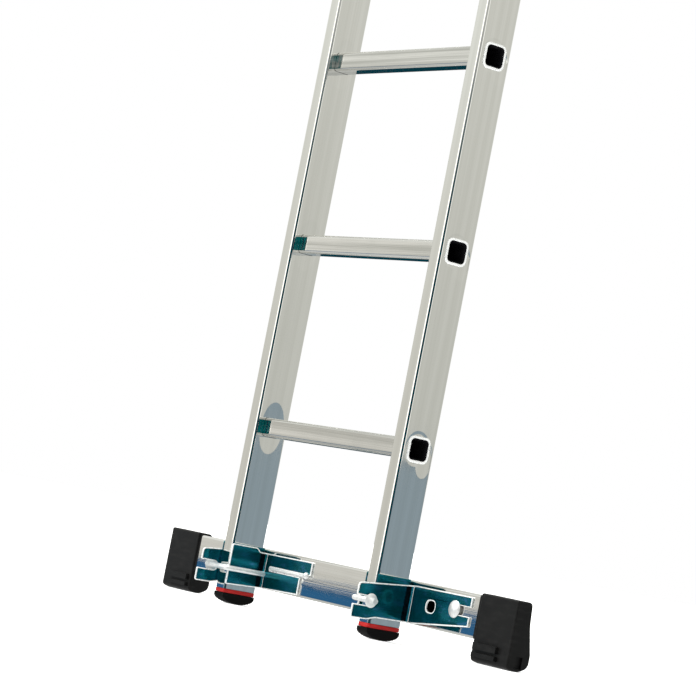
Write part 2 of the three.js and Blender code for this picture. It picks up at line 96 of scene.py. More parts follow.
BOLT_SLOT_HALF = 6.5  # half the height of the slot that holds the right bar bolt
RAIL_SLOT_START = -152
RAIL_SLOT_HALF = 2.4
RAIL_RADIUS = 2.2
THREAD_PITCH = 1.25
BAR_WALL = 2.5
BAR_CORNER = 4
BOLT_HOLE = 4.3  # radius of the holes in nuts and locks
RIVET = 4  # radius of a rivet's head
BOOT_SLOT = (18, 27)  # the lower and upper edge of the slot in a boot's front
BOOT_SLOT_DEPTH = 6

base_low, base_high = box("base_stile_right")
STILE_OUTER = base_high.x
STILE_INNER = base_low.x
BASE_FRONT = base_low.y
BASE_BACK = base_high.y
BASE_Y = (BASE_FRONT + BASE_BACK) / 2
FLY_Y = middle("fly_stile_right").y
HALF_DEPTH = (BASE_BACK - BASE_FRONT) / 2
base_rungs = [middle(f"base_rung_{number}").z for number in range(1, 9)]
fly_rungs = [middle(f"fly_rung_{number}").z for number in range(1, 9)]
bar_low, bar_high = box("stabiliser_bar")

SIDES = (("left", -1), ("right", 1))


# ---- shader helpers ---------------------------------------------------------------------------
def add_node(tree, kind, settings=None, **inputs):
    """A shader node. Each input is given by name, with _ for a space, as a value or a socket."""
    node = tree.nodes.new(kind)
    for key, value in (settings or {}).items():
        setattr(node, key, value)
    for key, value in inputs.items():
        socket = node.inputs[int(key[1:])] if key[0] == "i" and key[1:].isdigit() else None
        if socket is None:
            socket = node.inputs[key.replace("_", " ")]
        if isinstance(value, bpy.types.NodeSocket):
            tree.links.new(value, socket)
        else:
            socket.default_value = value
    return node


def maths(tree, operation, *values):
    inputs = {f"i{index}": value for index, value in enumerate(values)}
    return add_node(tree, "ShaderNodeMath", {"operation": operation}, **inputs).outputs[0]


def ramp(tree, value, low, high, at_low=0.0, at_high=1.0):
    """A smooth step from at_low to at_high as value goes from low to high."""
    settings = {"interpolation_type": "SMOOTHSTEP"}
    inputs = {"Value": value, "i1": low, "i2": high, "i3": at_low, "i4": at_high}
    return add_node(tree, "ShaderNodeMapRange", settings, **inputs).outputs[0]


def window(tree, value, low, high, soft):
    """1 between low and high, falling to 0 over the width soft at each end."""
    rise = ramp(tree, value, low - soft, low)
    fall = ramp(tree, value, high, high + soft, 1.0, 0.0)
    return maths(tree, "MULTIPLY", rise, fall)


def mix(tree, share, first, second):
    """A colour mix. first and second are colours or colour sockets."""
    node = tree.nodes.new("ShaderNodeMix")
    node.data_type = "RGBA"
    colours = [socket for socket in node.inputs if socket.type == "RGBA"]
    for socket, value in ((node.inputs[0], share), (colours[0], first), (colours[1], second)):
        if isinstance(value, bpy.types.NodeSocket):
            tree.links.new(value, socket)
        elif isinstance(value, (int, float)):
            socket.default_value = value
        else:
            socket.default_value = (*value, 1)
    return next(socket for socket in node.outputs if socket.type == "RGBA")


def noise(tree, scale, detail=3.0, stretch=(1, 1, 1)):
    """Noise fixed to the object, with scale in features per metre."""
    place_on = add_node(tree, "ShaderNodeTexCoord").outputs["Object"]
    mapping = add_node(tree, "ShaderNodeMapping", Vector=place_on, Scale=stretch)
    return add_node(
        tree, "ShaderNodeTexNoise", Vector=mapping.outputs[0], Scale=scale, Detail=detail
    ).outputs[0]


def new_material(name, **sockets):
    """A Principled material. Returns it with its node tree and its shader."""
    material = bpy.data.materials.new(name)
    material.use_nodes = True
    shader = material.node_tree.nodes["Principled BSDF"]
    for key, value in sockets.items():
        shader.inputs[key.replace("_", " ")].default_value = value
    return material, material.node_tree, shader


def connect(tree, shader, **sockets):
    for key, value in sockets.items():
        tree.links.new(value, shader.inputs[key.replace("_", " ")])


def bump(tree, shader, height, strength, distance):
    inputs = {"Strength": strength, "Distance": distance, "Height": height}
    connect(tree, shader, Normal=add_node(tree, "ShaderNodeBump", **inputs).outputs[0])


# ---- materials --------------------------------------------------------------------------------
def drawn_aluminium(name, dark, light, stretch, rough, relief):
    """Mill-finish extrusion: fine lines and faint cloudy smudges along its length."""
    material, tree, shader = new_material(name, Metallic=1.0)
    lines = noise(tree, 900, 4.0, stretch)
    bands = noise(tree, 120, 2.0, stretch)
    clouds = noise(tree, 9, 4.0)
    fine, coarse = maths(tree, "MULTIPLY", lines, 0.35), maths(tree, "MULTIPLY", bands, 0.65)
    share = maths(tree, "ADD", fine, coarse)
    streaks = mix(tree, ramp(tree, share, 0.32, 0.68), dark, light)
    smudged = mix(tree, ramp(tree, clouds, 0.4, 0.72, 0.0, 0.22), streaks, dark)
    low, high = rough
    worn = maths(tree, "ADD", clouds, maths(tree, "MULTIPLY", lines, 0.5))
    roughness = ramp(tree, worn, 0.5, 1.0, low, high)
    connect(tree, shader, Base_Color=smudged, Roughness=roughness)
    bump(tree, shader, lines, relief, 0.0002)
    return material


def zinc_plate():
    """Blue-green passivated zinc: cloudy colour with rubbed streaks."""
    material, tree, shader = new_material("zinc_plate", Metallic=0.88)
    clouds = noise(tree, 30, 5.0)
    rubs = noise(tree, 55, 4.0, (1, 1, 3))
    specks = noise(tree, 700, 3.0)
    teal = mix(tree, ramp(tree, clouds, 0.35, 0.62), (0.001, 0.14, 0.16), (0.003, 0.165, 0.23))
    rubbed = mix(tree, ramp(tree, rubs, 0.55, 0.72, 0.0, 0.75), teal, (0.05, 0.22, 0.42))
    worn = maths(tree, "ADD", clouds, maths(tree, "MULTIPLY", specks, 0.3))
    roughness = ramp(tree, worn, 0.4, 0.9, 0.1, 0.24)
    connect(tree, shader, Base_Color=rubbed, Roughness=roughness)
    bump(tree, shader, specks, 0.06, 0.0002)
    return material


def bright_metal(name, dark, light, rough, metallic):
    """Bright zinc on steel, with faint specks."""
    material, tree, shader = new_material(name, Metallic=metallic)
    specks = noise(tree, 260, 4.0)
    low, high = rough
    connect(
        tree, shader, Base_Color=mix(tree, ramp(tree, specks, 0.35, 0.7), dark, light),
        Roughness=ramp(tree, specks, 0.3, 0.7, low, high),
    )
    return material


def moulded(name, dark, light, rough, grain, relief, shine=0.5):
    """Moulded plastic or rubber with a fine grain and faint scuffs."""
    material, tree, shader = new_material(name, Specular_IOR_Level=shine)
    grains = noise(tree, grain, 2.0)
    scuffs = noise(tree, 60, 5.0, (1, 1, 3))
    low, high = rough
    connect(
        tree, shader, Base_Color=mix(tree, ramp(tree, scuffs, 0.45, 0.75), dark, light),
        Roughness=ramp(tree, scuffs, 0.3, 0.7, low, high),
    )
    bump(tree, shader, grains, relief, 0.0003)
    return material


ALONG_Z = (1, 1, 0.006)
ALONG_X = (0.006, 1, 1)
materials = {
    "stile_aluminium": drawn_aluminium(
        "stile_aluminium", (0.80, 0.80, 0.765), (0.88, 0.88, 0.85), ALONG_Z, (0.02, 0.06), 0.03),
    "rung_aluminium": drawn_aluminium(
        "rung_aluminium", (0.55, 0.55, 0.52), (0.97, 0.96, 0.93), ALONG_X, (0.07, 0.13), 0.06),
    "bar_aluminium": drawn_aluminium(
        "bar_aluminium", (0.78, 0.77, 0.74), (0.92, 0.92, 0.90), ALONG_X, (0.015, 0.04), 0.03),
    "zinc_plated_sheet": zinc_plate(),
    "bright_steel": bright_metal(
        "bright_steel", (0.86, 0.87, 0.87), (0.97, 0.98, 0.97), (0.3, 0.42), 0.75),
    "black_moulding": moulded(
        "black_moulding", (0.006, 0.006, 0.006), (0.01, 0.01, 0.01), (0.35, 0.5), 2600, 0.1, 0.14),
    "black_rubber": moulded(
        "black_rubber", (0.003, 0.003, 0.003), (0.005, 0.005, 0.005), (0.5, 0.7), 1800, 0.2, 0.08),
    "red_moulding": moulded(
        "red_moulding", (0.34, 0.007, 0.006), (0.44, 0.010, 0.009), (0.3, 0.45), 1500, 0.05, 0.25),
}
# A painted shade: near-black for the insides of rung bores, the bar's tube and the boots' slots.
unlit_bore = moulded(
    "unlit_bore", (0.004, 0.004, 0.005), (0.007, 0.007, 0.008), (0.8, 0.9), 900, 0.05, 0.05)
# A painted highlight for the rims of cut sheet, the rungs' lips and a line in each bend, and the
# real bright steel of rivets and studs.
highlight_and_fitting_steel = bright_metal("highlight_and_fitting_steel", (0.93, 0.94, 0.93), (0.99, 1.0, 0.99), (0.25, 0.4), 0.4)
# A near-black painted shade for the start of each bracket's bend.
bend_shade = bright_metal(
    "bend_shade", (0.0005, 0.004, 0.007), (0.001, 0.01, 0.015), (0.25, 0.35), 0.9)


# ---- outlines ---------------------------------------------------------------------------------
def rectangle(a0, b0, a1, b1):
    return [(a0, b0), (a1, b0), (a1, b1), (a0, b1)]


def arc(a, b, radius, start, end, steps):
    """Points on a circle about (a, b), from one angle to another in degrees."""
    angles = [math.radians(start + (end - start) * step / steps) for step in range(steps + 1)]
    return [(a + radius * math.cos(angle), b + radius * math.sin(angle)) for angle in angles]


def circle(a, b, radius, steps=32):
    return arc(a, b, radius, 0, 360 * (steps - 1) / steps, steps - 1)


def rounded(points, radius, steps=5):
    """A closed outline with each corner rounded, by one radius or a list of them."""
    count = len(points)
    radii = radius if isinstance(radius, (list, tuple)) else [radius] * count
    outline = []
    for index, (corner, size) in enumerate(zip(points, radii)):
        here = Vector(corner)
        before = Vector(points[index - 1]) - here
        after = Vector(points[(index + 1) % count]) - here
        longest = min(before.length, after.length) * 0.49
        reach = min(size / math.tan(before.angle(after) / 2), longest)
        start = here + before.normalized() * reach
        end = here + after.normalized() * reach
        for step in range(steps + 1):
            t = step / steps
            outline.append(tuple((1 - t) ** 2 * start + 2 * t * (1 - t) * here + t * t * end))
    return outline


def rounded_box(a, b, width, height, radius, steps=5):
    corners = rectangle(a - width / 2, b - height / 2, a + width / 2, b + height / 2)
    return rounded(corners, radius, steps)


def area(outline):
    following = outline[1:] + outline[:1]
    return sum(a[0] * b[1] - b[0] * a[1] for a, b in zip(outline, following)) / 2


# ---- meshes -----------------------------------------------------------------------------------
# Where an outline's two directions and its thickness go, for an extrusion along each axis.
AXES = {
    "x": Matrix(((0, 0, 1), (1, 0, 0), (0, 1, 0))).to_4x4(),
    "y": Matrix(((1, 0, 0), (0, 0, -1), (0, 1, 0))).to_4x4(),
    "z": Matrix.Identity(4),
}


def plate(outlines, thickness, edge):
    """A flat plate about Z = 0 with rounded edges, from its outside and any holes."""
    curve = bpy.data.curves.new("outline", "CURVE")
    curve.dimensions = "2D"
    curve.fill_mode = "BOTH"
    curve.extrude = thickness / 2 - edge
    curve.bevel_depth = edge
    curve.bevel_resolution = 2
    curve.offset = -edge
    for index, outline in enumerate(outlines):
        points = outline if (area(outline) > 0) == (index == 0) else outline[::-1]
        spline = curve.splines.new("POLY")
        spline.points.add(len(points) - 1)
        for point, (a, b) in zip(spline.points, points):
            point.co = (a, b, 0, 1)
        spline.use_cyclic_u = True
    holder = bpy.data.objects.new("outline", curve)
    mesh = bpy.data.meshes.new_from_object(holder)
    bpy.data.objects.remove(holder)
    bpy.data.curves.remove(curve)
    bm = bmesh.new()
    bm.from_mesh(mesh)
    bpy.data.meshes.remove(mesh)
    bmesh.ops.remove_doubles(bm, verts=bm.verts, dist=1e-3)
    bmesh.ops.recalc_face_normals(bm, faces=bm.faces)
    return bm


def solid(axis, outlines, low, high, edge=0.4):
    """An extrusion with rounded edges between two places on an axis."""
    bm = plate(outlines, high - low, edge)
    shift = -(low + high) / 2 if axis == "y" else (low + high) / 2
    bmesh.ops.translate(bm, verts=bm.verts, vec=(0, 0, shift))
    bmesh.ops.transform(bm, verts=bm.verts, matrix=AXES[axis])
    return bm


def fold(bm, path, radius, steps=12, shaded=False):
    """Folds a plate, drawn with its length along X and its height along Y, round a path in plan.

    If it is shaded, the start of each bend gets the third material, a painted shade, and a line
    near its end gets the second, a painted highlight.
    """
    points = [Vector(point) for point in path]
    lengths = [(b - a).length for a, b in zip(points, points[1:])]
    ways = [(b - a).normalized() for a, b in zip(points, points[1:])]
    places = [sum(lengths[:index]) for index in range(len(points))]
    bends = []
    for index in range(1, len(points) - 1):
        angle = ways[index - 1].angle_signed(ways[index])
        reach = radius * math.tan(abs(angle) / 2)
        bends.append((places[index], reach, angle, index))
        for step in range(steps + 1):
            cut_at = places[index] + reach * (2 * step / steps - 1)
            everything = bm.verts[:] + bm.edges[:] + bm.faces[:]
            bmesh.ops.bisect_plane(
                bm, geom=everything, plane_co=(cut_at, 0, 0), plane_no=(1, 0, 0))
    for skin in bm.faces if shaded else ():
        for bend in bends:
            share = (skin.calc_center_median().x - bend[0] + bend[1]) / (2 * bend[1])
            if skin.material_index == 0 and 0 < share < 1:
                dark, bright = share < BEND_SHADE_END, BEND_HIGHLIGHT[0] < share < BEND_HIGHLIGHT[1]
                skin.material_index = 2 if dark else 1 if bright else 0
    for vert in bm.verts:
        along, height, depth = vert.co
        section = max(index for index in range(len(ways)) if index == 0 or along >= places[index])
        spot = points[section] + ways[section] * (along - places[section])
        way = ways[section]
        for place_at, reach, angle, index in bends:
            if abs(along - place_at) < reach:
                turned = -angle * (along - place_at + reach) / (2 * reach)
                start = points[index] - ways[index - 1] * reach
                way = Matrix.Rotation(turned, 2) @ ways[index - 1]
                side = -1 if angle > 0 else 1
                centre = start + side * radius * Vector((-ways[index - 1].y, ways[index - 1].x))
                spot = centre - side * radius * Vector((-way.y, way.x))
        vert.co = (spot.x + way.y * depth, spot.y - way.x * depth, height)
    return bm


def highlight_rims(bm, width):
    """Marks the cut edges of a flat plate, and a strip along them, for the second material, a
    painted highlight.
    """
    faces = [face for face in bm.faces if abs(face.normal.z) > 0.999]
    for face in bm.faces:
        face.material_index = 1
    bmesh.ops.inset_region(
        bm, faces=faces, thickness=width, use_even_offset=True, use_boundary=True)
    for face in faces:
        face.material_index = 0
    return bm


def folded_sheet(outlines, path, thickness, radius, shaded=False):
    """A folded plate with painted highlights along its rims."""
    bm = highlight_rims(plate(outlines, thickness, SHEET_EDGE), RIM_HIGHLIGHT)
    return fold(bm, path, radius, shaded=shaded)


def lathe(profile, centre, way, segments=40):
    """A turned piece. The profile is a list of (radius, distance along the axis)."""
    bm = bmesh.new()
    turn = Vector((0, 0, 1)).rotation_difference(Vector(way)).to_matrix()
    rings = []
    for radius, distance in profile:
        if radius == 0:
            rings.append([bm.verts.new(Vector(centre) + turn @ Vector((0, 0, distance)))])
            continue
        ring = [Vector((a, b, distance)) for a, b in circle(0, 0, radius, segments)]
        rings.append([bm.verts.new(Vector(centre) + turn @ point) for point in ring])
    for first, second in zip(rings, rings[1:]):
        for index in range(segments):
            following = (index + 1) % segments
            corners = [first[index % len(first)], first[following % len(first)],
                       second[following % len(second)], second[index % len(second)]]
            bm.faces.new(list(dict.fromkeys(corners)))
    bmesh.ops.recalc_face_normals(bm, faces=bm.faces)
    return bm


def loft(rings, closed=False):
    """A skin over rings of points, with its ends filled or joined to each other."""
    bm = bmesh.new()
    loops = [[bm.verts.new(point) for point in ring] for ring in rings]
    pairs = list(zip(loops, loops[1:]))
    if closed:
        pairs.append((loops[-1], loops[0]))
    else:
        bm.faces.new(loops[0][::-1])
        bm.faces.new(loops[-1])
    count = len(loops[0])
    for first, second in pairs:
        for index in range(count):
            following = (index + 1) % count
            bm.faces.new((first[index], first[following], second[following], second[index]))
    bmesh.ops.recalc_face_normals(bm, faces=bm.faces)
    return bm


def grid(bm, rows):
    """A sheet of quads over rows of points."""
    lines = [[bm.verts.new(point) for point in row] for row in rows]
    for first, second in zip(lines, lines[1:]):
        for index in range(len(first) - 1):
            bm.faces.new((first[index], first[index + 1], second[index + 1], second[index]))


def joined(*parts):
    """One mesh from several, each used up."""
    whole = bmesh.new()
    for part in parts:
        mesh = bpy.data.meshes.new("part")
        part.to_mesh(mesh)
        part.free()
        whole.from_mesh(mesh)
        bpy.data.meshes.remove(mesh)
    return whole


def to_object(name, bm):
    mesh = bpy.data.meshes.new(name)
    bm.to_mesh(mesh)
    bm.free()
    piece = bpy.data.objects.new(name, mesh)
    bpy.context.scene.collection.objects.link(piece)
    return piece


def applied(piece):
    """The piece's mesh with its modifiers, as a bmesh. The object is used up."""
    graph = bpy.context.evaluated_depsgraph_get()
    bm = bmesh.new()
    bm.from_object(piece, graph)
    mesh = piece.data
    bpy.data.objects.remove(piece)
    bpy.data.meshes.remove(mesh)
    return bm


def cut(bm, *tools, soft=0.0):
    """bm with the tools taken away, and the new edges softened."""
    piece = to_object("cut", bm)
    cutters = [to_object("tool", tool) for tool in tools]
    for cutter in cutters:
        modifier = piece.modifiers.new("cut", "BOOLEAN")
        modifier.object = cutter
        modifier.solver = "EXACT"
    if soft:
        modifier = piece.modifiers.new("soft", "BEVEL")
        modifier.width = soft
        modifier.segments = 2
        modifier.limit_method = "ANGLE"
        modifier.angle_limit = math.radians(50)
    result = applied(piece)
    for cutter in cutters:
        mesh = cutter.data
        bpy.data.objects.remove(cutter)
        bpy.data.meshes.remove(mesh)
    return result


def place(node, bm, *more, angle=32):
    """Turns a mesh into the piece that stands for a CAD node, with that node's body and slot."""
    bmesh.ops.scale(bm, vec=(MM, MM, MM), verts=bm.verts)
    piece = to_object(f"{node}_finished", bm)
    piece.data.materials.append(materials[node_slot[node]])
    for material in more:
        piece.data.materials.append(material)
    piece.data.shade_smooth()
    piece.data.set_sharp_from_angle(angle=math.radians(angle))
    piece.modifiers.new("even", "WEIGHTED_NORMAL").keep_sharp = True
    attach(piece, node_body[node])
    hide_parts(node)
    return piece


# ---- stiles and rungs -------------------------------------------------------------------------
def square_point(angle, half, corner):
    """Where a ray at an angle leaves a square with rounded corners."""
    a, b = math.cos(angle), math.sin(angle)
    reach = half / max(abs(a), abs(b))
    inner = half - corner
    if min(abs(a), abs(b)) * reach > inner:
        toward = inner * (abs(a) + abs(b))
        reach = toward + math.sqrt(toward ** 2 - 2 * inner ** 2 + corner ** 2)
    return a * reach, b * reach


def chord_within(y, z, half_width, half_height):
    """Half the height of an ellipse at a place across it, and how far inside its edge z is."""
    across = 1 - (y / half_width) ** 2
    chord = half_height * math.sqrt(max(0.0, across))
    return chord, chord - abs(z)


def inner_dish(y, z):
    """How deep a wide face is pressed in on a rung's side, measured from the joint's middle."""
    chord, inside = chord_within(y, z, DISH_HALF_WIDTH, DISH_HALF_HEIGHT)
    if inside <= 0:
        return 0.0
    ramped = min(inside, DISH_RIM) ** 2 / (2 * DISH_RIM) + max(0.0, inside - DISH_RIM)
    return DISH_SLOPE * ramped * (1 - inside / (2.2 * chord + 1))


def outer_dish(y, z):
    """The same on the outside: a shallow press round the lip, and a lobe below it at the back."""
    inside = chord_within(y + 3, z - 1, 20, 24)[1]
    press = 0.12 * min(max(inside, 0.0) / 2.5, 1.0)
    lobe_y, lobe_z = 13, -14
    chord, inside = chord_within(y - lobe_y, z - lobe_z, 13, 25)
    if inside <= 0:
        return press
    rise = z - lobe_z + chord
    ramped = min(rise, DISH_RIM) ** 2 / (2 * DISH_RIM) + max(0.0, rise - DISH_RIM)
    fade = min((chord - z + lobe_z) / 4, 1.0)
    return max(press, DISH_SLOPE * ramped * fade)


def add_stile(node, side, heights):
    """A box section with rounded corners, a hole for each rung and a dish pressed round it."""
    low, high = box(node)
    x, y = (low.x + high.x) / 2, (low.y + high.y) / 2
    half_x, half_y = (high.x - low.x) / 2, (high.y - low.y) / 2
    flat = half_y - STILE_CORNER
    across, upright, rings = 28, 52, 30
    widths = [flat * (2 * step / across - 1) for step in range(across + 1)]
    rises = [PATCH_HALF_HEIGHT * (2 * step / upright - 1) for step in range(upright + 1)]
    levels = [low.z, *(height + rise for height in heights for rise in rises), high.z]
    bm = bmesh.new()
    for way in (-1, 1):
        turn = arc(half_x - STILE_CORNER, flat, STILE_CORNER, 0, 90, 6)
        outline = turn + [(-a, b) for a, b in reversed(turn)]
        grid(bm, [[(x + a, y + way * b, z) for a, b in outline] for z in levels])
    border = [(w, -PATCH_HALF_HEIGHT) for w in widths[:-1]] + [(flat, r) for r in rises[:-1]]
    border += [(-a, -b) for a, b in border]
    border.append(border[0])
    for way in (-1, 1):
        ends = [low.z, *(h + s * PATCH_HALF_HEIGHT for h in heights for s in (-1, 1)), high.z]
        for bottom, top in zip(ends[::2], ends[1::2]):
            grid(bm, [[(x + way * half_x, y + w, z) for w in widths] for z in (bottom, top)])
        dish = outer_dish if way == side else inner_dish
        for height in heights:
            rows = []
            for ring in range(rings + 1):
                share = ring / rings
                row = []
                for a, b in border:
                    hole = square_point(math.atan2(b, a), RUNG_HALF + GAP, RUNG_CORNER)
                    c, d = hole[0] + (a - hole[0]) * share, hole[1] + (b - hole[1]) * share
                    row.append((x + way * (half_x - dish(c, d)), y + c, height + d))
                rows.append(row)
            grid(bm, rows)
    bmesh.ops.remove_doubles(bm, verts=bm.verts, dist=1e-3)
    bmesh.ops.recalc_face_normals(bm, faces=bm.faces)
    piece = to_object("skin", bm)
    wall = piece.modifiers.new("wall", "SOLIDIFY")
    wall.thickness = STILE_WALL
    wall.offset = -1
    place(node, applied(piece), angle=40)


def rung_ring(x, y, z, half, corner, flutes):
    """One section of a rung: a rounded square, with flutes on its top."""
    points = []
    per_side, per_corner = 36, 6
    flat = half - corner
    for quarter in range(4):
        turn = Matrix.Rotation(math.radians(90 * quarter), 2)
        for step in range(per_side):
            t = step / per_side
            wave = 0.5 - 0.5 * math.cos(2 * math.pi * 9 * t) if quarter == 1 else 0
            points.append(turn @ Vector((half - flutes * 0.45 * wave, flat * (2 * t - 1))))
        for a, b in arc(flat, flat, corner, 0, 90, per_corner)[:-1]:
            points.append(turn @ Vector((a, b)))
    return [(x, y + a, z + b) for a, b in points]


def add_rung(node):
    """A square tube with a fluted tread, rolled over each stile's outside into a thick lip."""
    centre = middle(node)
    bore = RUNG_HALF - RUNG_WALL
    face = STILE_OUTER + 0.1
    lip = RUNG_HALF + LIP
    # distance from the middle, half size, corner radius, depth of the flutes
    outside = [
        (STILE_INNER - 6, RUNG_HALF, RUNG_CORNER, 1),
        (STILE_INNER - 0.1, RUNG_HALF, RUNG_CORNER, 1),
        (STILE_INNER, RUNG_HALF, RUNG_CORNER, 0), (face - 0.3, RUNG_HALF, RUNG_CORNER, 0),
        (face, lip, RUNG_CORNER + 5, 0), (face + 0.7, lip - 0.2, RUNG_CORNER + 5, 0),
        (face + 1.2, lip - 0.9, RUNG_CORNER + 4.5, 0), (face + 1.4, lip - 1.8, RUNG_CORNER + 4, 0),
        (face + 1.3, lip - 2.8, RUNG_CORNER + 3, 0),
        (face + 0.9, RUNG_HALF + 1.2, RUNG_CORNER + 2, 0),
        (face + 0.3, RUNG_HALF - 0.2, RUNG_CORNER + 1.5, 0),
        (face - 0.6, RUNG_HALF - 1.2, RUNG_CORNER, 0),
    ]
    lip_start, bore_start = 3, 9  # the sections where the lip's painted highlight and the bore's painted shade start
    inside = [(face - 4, bore, RUNG_CORNER - 1, 0), (STILE_INNER - 6, bore, RUNG_CORNER - 1, 0)]
    right = outside + inside
    left = [(-x, *shape) for x, *shape in reversed(right)]
    rings = [rung_ring(x, centre.y, centre.z, *shape) for x, *shape in right + left]
    bm = loft(rings, closed=True)
    for index, skin in enumerate(bm.faces):
        section = index // len(rings[0])
        section = min(section, 2 * len(right) - 2 - section)
        if section >= bore_start:
            skin.material_index = 2
        elif section >= lip_start:
            skin.material_index = 1
    place(node, bm, highlight_and_fitting_steel, unlit_bore, angle=50)


# ---- feet and caps ----------------------------------------------------------------------------
def add_cap(node, up):
    """A moulded end cap: a domed lip outside the stile and a plug inside it."""
    low, high = box(node)
    x, y = (low.x + high.x) / 2, (low.y + high.y) / 2
    lip_low, lip_high = (high.z - 5, high.z) if up > 0 else (low.z, low.z + 5)
    outside = rounded_box(x, y, high.x - low.x, high.y - low.y, STILE_CORNER)
    lip = solid("z", [outside], lip_low, lip_high, 1.4)
    plug = solid("z", [rounded_box(x, y, 18, 48, 2)], low.z + 2, high.z - 2, 0.8)
    place(node, joined(lip, plug))


def add_sole(node):
    """A rubber rocker with cross grooves underneath, and the plug that holds it in the stile."""
    low, high = box(node)
    x, y = (low.x + high.x) / 2, (low.y + high.y) / 2
    half, depth, top = (high.y - low.y) / 2, 12.6, 15
    profile = [(y - half, top)]
    steps = 60
    for step in range(steps + 1):
        b = half * math.sin(math.pi * (step / steps - 0.5))
        z = depth * (1 - math.sqrt(1 - (b / (half + 0.4)) ** 2))
        groove = 0.9 if step % 4 == 2 and 12 < step < steps - 12 else 0
        profile.append((y + b, z + groove))
    profile.append((y + half, top))
    rocker = solid("x", [profile], low.x, high.x, 0.35)
    plug = solid("z", [rounded_box(x, y, 18, 48, 2)], top - 2, high.z, 0.8)
    place(node, joined(rocker, plug))


def add_collar(node):
    low, high = box(node)
    x, y = (low.x + high.x) / 2, (low.y + high.y) / 2
    outside = rounded_box(x, y, high.x - low.x, high.y - low.y, STILE_CORNER)
    place(node, solid("z", [outside, rounded_box(x, y, 18.6, 48.6, 2)], low.z, high.z, 0.9))


def add_end_foot(node, side):
    """A moulded boot over the bar's end, with a slot in front and a notch in its end."""
    low, high = box(node)
    front, back, top = low.y, high.y, high.z
    inner, outer = min(abs(low.x), abs(high.x)), max(abs(low.x), abs(high.x))
    corners = [
        (front, 2), (front + 12, 0), (front + 22, 0), (back, 7), (back, 24),
        (front + 28, 62), (front + 25.5, top), (front, top),
    ]
    profile = rounded(corners, [9, 16, 18, 15, 14, 60, 6, 3], 8)
    slot_span = (inner + 7, outer - 24)
    body = solid("x", [profile], inner, outer, 2.8)
    pocket = solid("x", [bar_outline(GAP)], inner - 5, bar_high.x + GAP, 0.1)
    slot_low, slot_high = BOOT_SLOT
    slot_outline = rectangle(front - 5, slot_low, front + BOOT_SLOT_DEPTH, slot_high)
    slot = solid("x", [slot_outline], *slot_span, 0.1)
    undercut = solid("x", [rectangle(front - 5, 8, front + 1.4, 14)], *slot_span, 0.1)
    notch_outline = rectangle(front + 13, 4, front + 24, 20)
    notch = solid("x", [notch_outline], outer - 4, outer + 6, 0.1)
    boot = cut(body, pocket, slot, undercut, notch, soft=0.25)
    # The slot's inner faces get the second material, a painted shade.
    for skin in boot.faces:
        _x, y, z = skin.calc_center_median()
        in_slot = front + 0.6 < y < front + BOOT_SLOT_DEPTH + 0.5
        if in_slot and slot_low - 0.5 < z < slot_high + 0.5 and abs(skin.normal.x) < 0.9:
            skin.material_index = 1
    bmesh.ops.scale(boot, vec=(side, 1, 1), verts=boot.verts)
    bmesh.ops.recalc_face_normals(boot, faces=boot.faces)
    place(node, boot, unlit_bore)


# ---- stabiliser bar and clamps ----------------------------------------------------------------
bolt_right = middle("bar_right_nut")
bolt_left = middle("bar_left_nut")
HOOK_Z = middle("wing_nut_right").z
HOOK_X = middle("wing_nut_right").x
HOOK_RADIUS = 4
RAIL_Z = bolt_left.z - 1.7  # the rail in the inner left bracket's slot


def bar_outline(grow):
    width, height = bar_high.y - bar_low.y + 2 * grow, bar_high.z - bar_low.z + 2 * grow
    centre = (bar_low + bar_high) / 2
    return rounded_box(centre.y, centre.z, width, height, BAR_CORNER + grow, 6)


def add_bar():
    tube = solid("x", [bar_outline(0), bar_outline(-BAR_WALL)], bar_low.x, bar_high.x, 0.3)
    places = [
        (HOOK_X, HOOK_Z), (-HOOK_X, HOOK_Z),
        (bolt_right.x, bolt_right.z), (bolt_left.x, bolt_left.z),
    ]
    through = (bar_low.y - 5, bar_high.y + 5)
    drills = [solid("y", [circle(x, z, 4.5, 24)], *through, 0.1) for x, z in places]
    behind_hole = rounded_box(*OBLONG_HOLE, 24, 20, 9.5)
    drills.append(solid("y", [behind_hole], bar_low.y - 5, bar_low.y + 8, 0.1))
    bm = cut(tube, *drills)
    centre = (bar_low + bar_high) / 2
    # The tube's inner walls get the second material, a painted shade.
    for wall in bm.faces:
        inward = centre - wall.calc_center_median()
        inward.x = 0
        if wall.normal.dot(inward) > 0:
            wall.material_index = 1
    place("stabiliser_bar", bm, unlit_bore)


def add_saddle(node, side):
    """The U-shaped sheet round a stile's sides and back."""
    low, high = box(node)
    near, far = STILE_INNER - GAP - SHEET / 2, STILE_OUTER + GAP + SHEET / 2
    back = high.y - SHEET / 2
    front = BASE_FRONT + 1
    path = [(far, front), (far, back), (near, back), (near, front)]
    path = [(side * x, y) for x, y in path]
    length = 2 * (back - front) + far - near
    outline = rounded(rectangle(0, low.z, length, high.z), 2.5)
    place(node, fold(plate([outline], SHEET, SHEET_EDGE), path, 3.2))


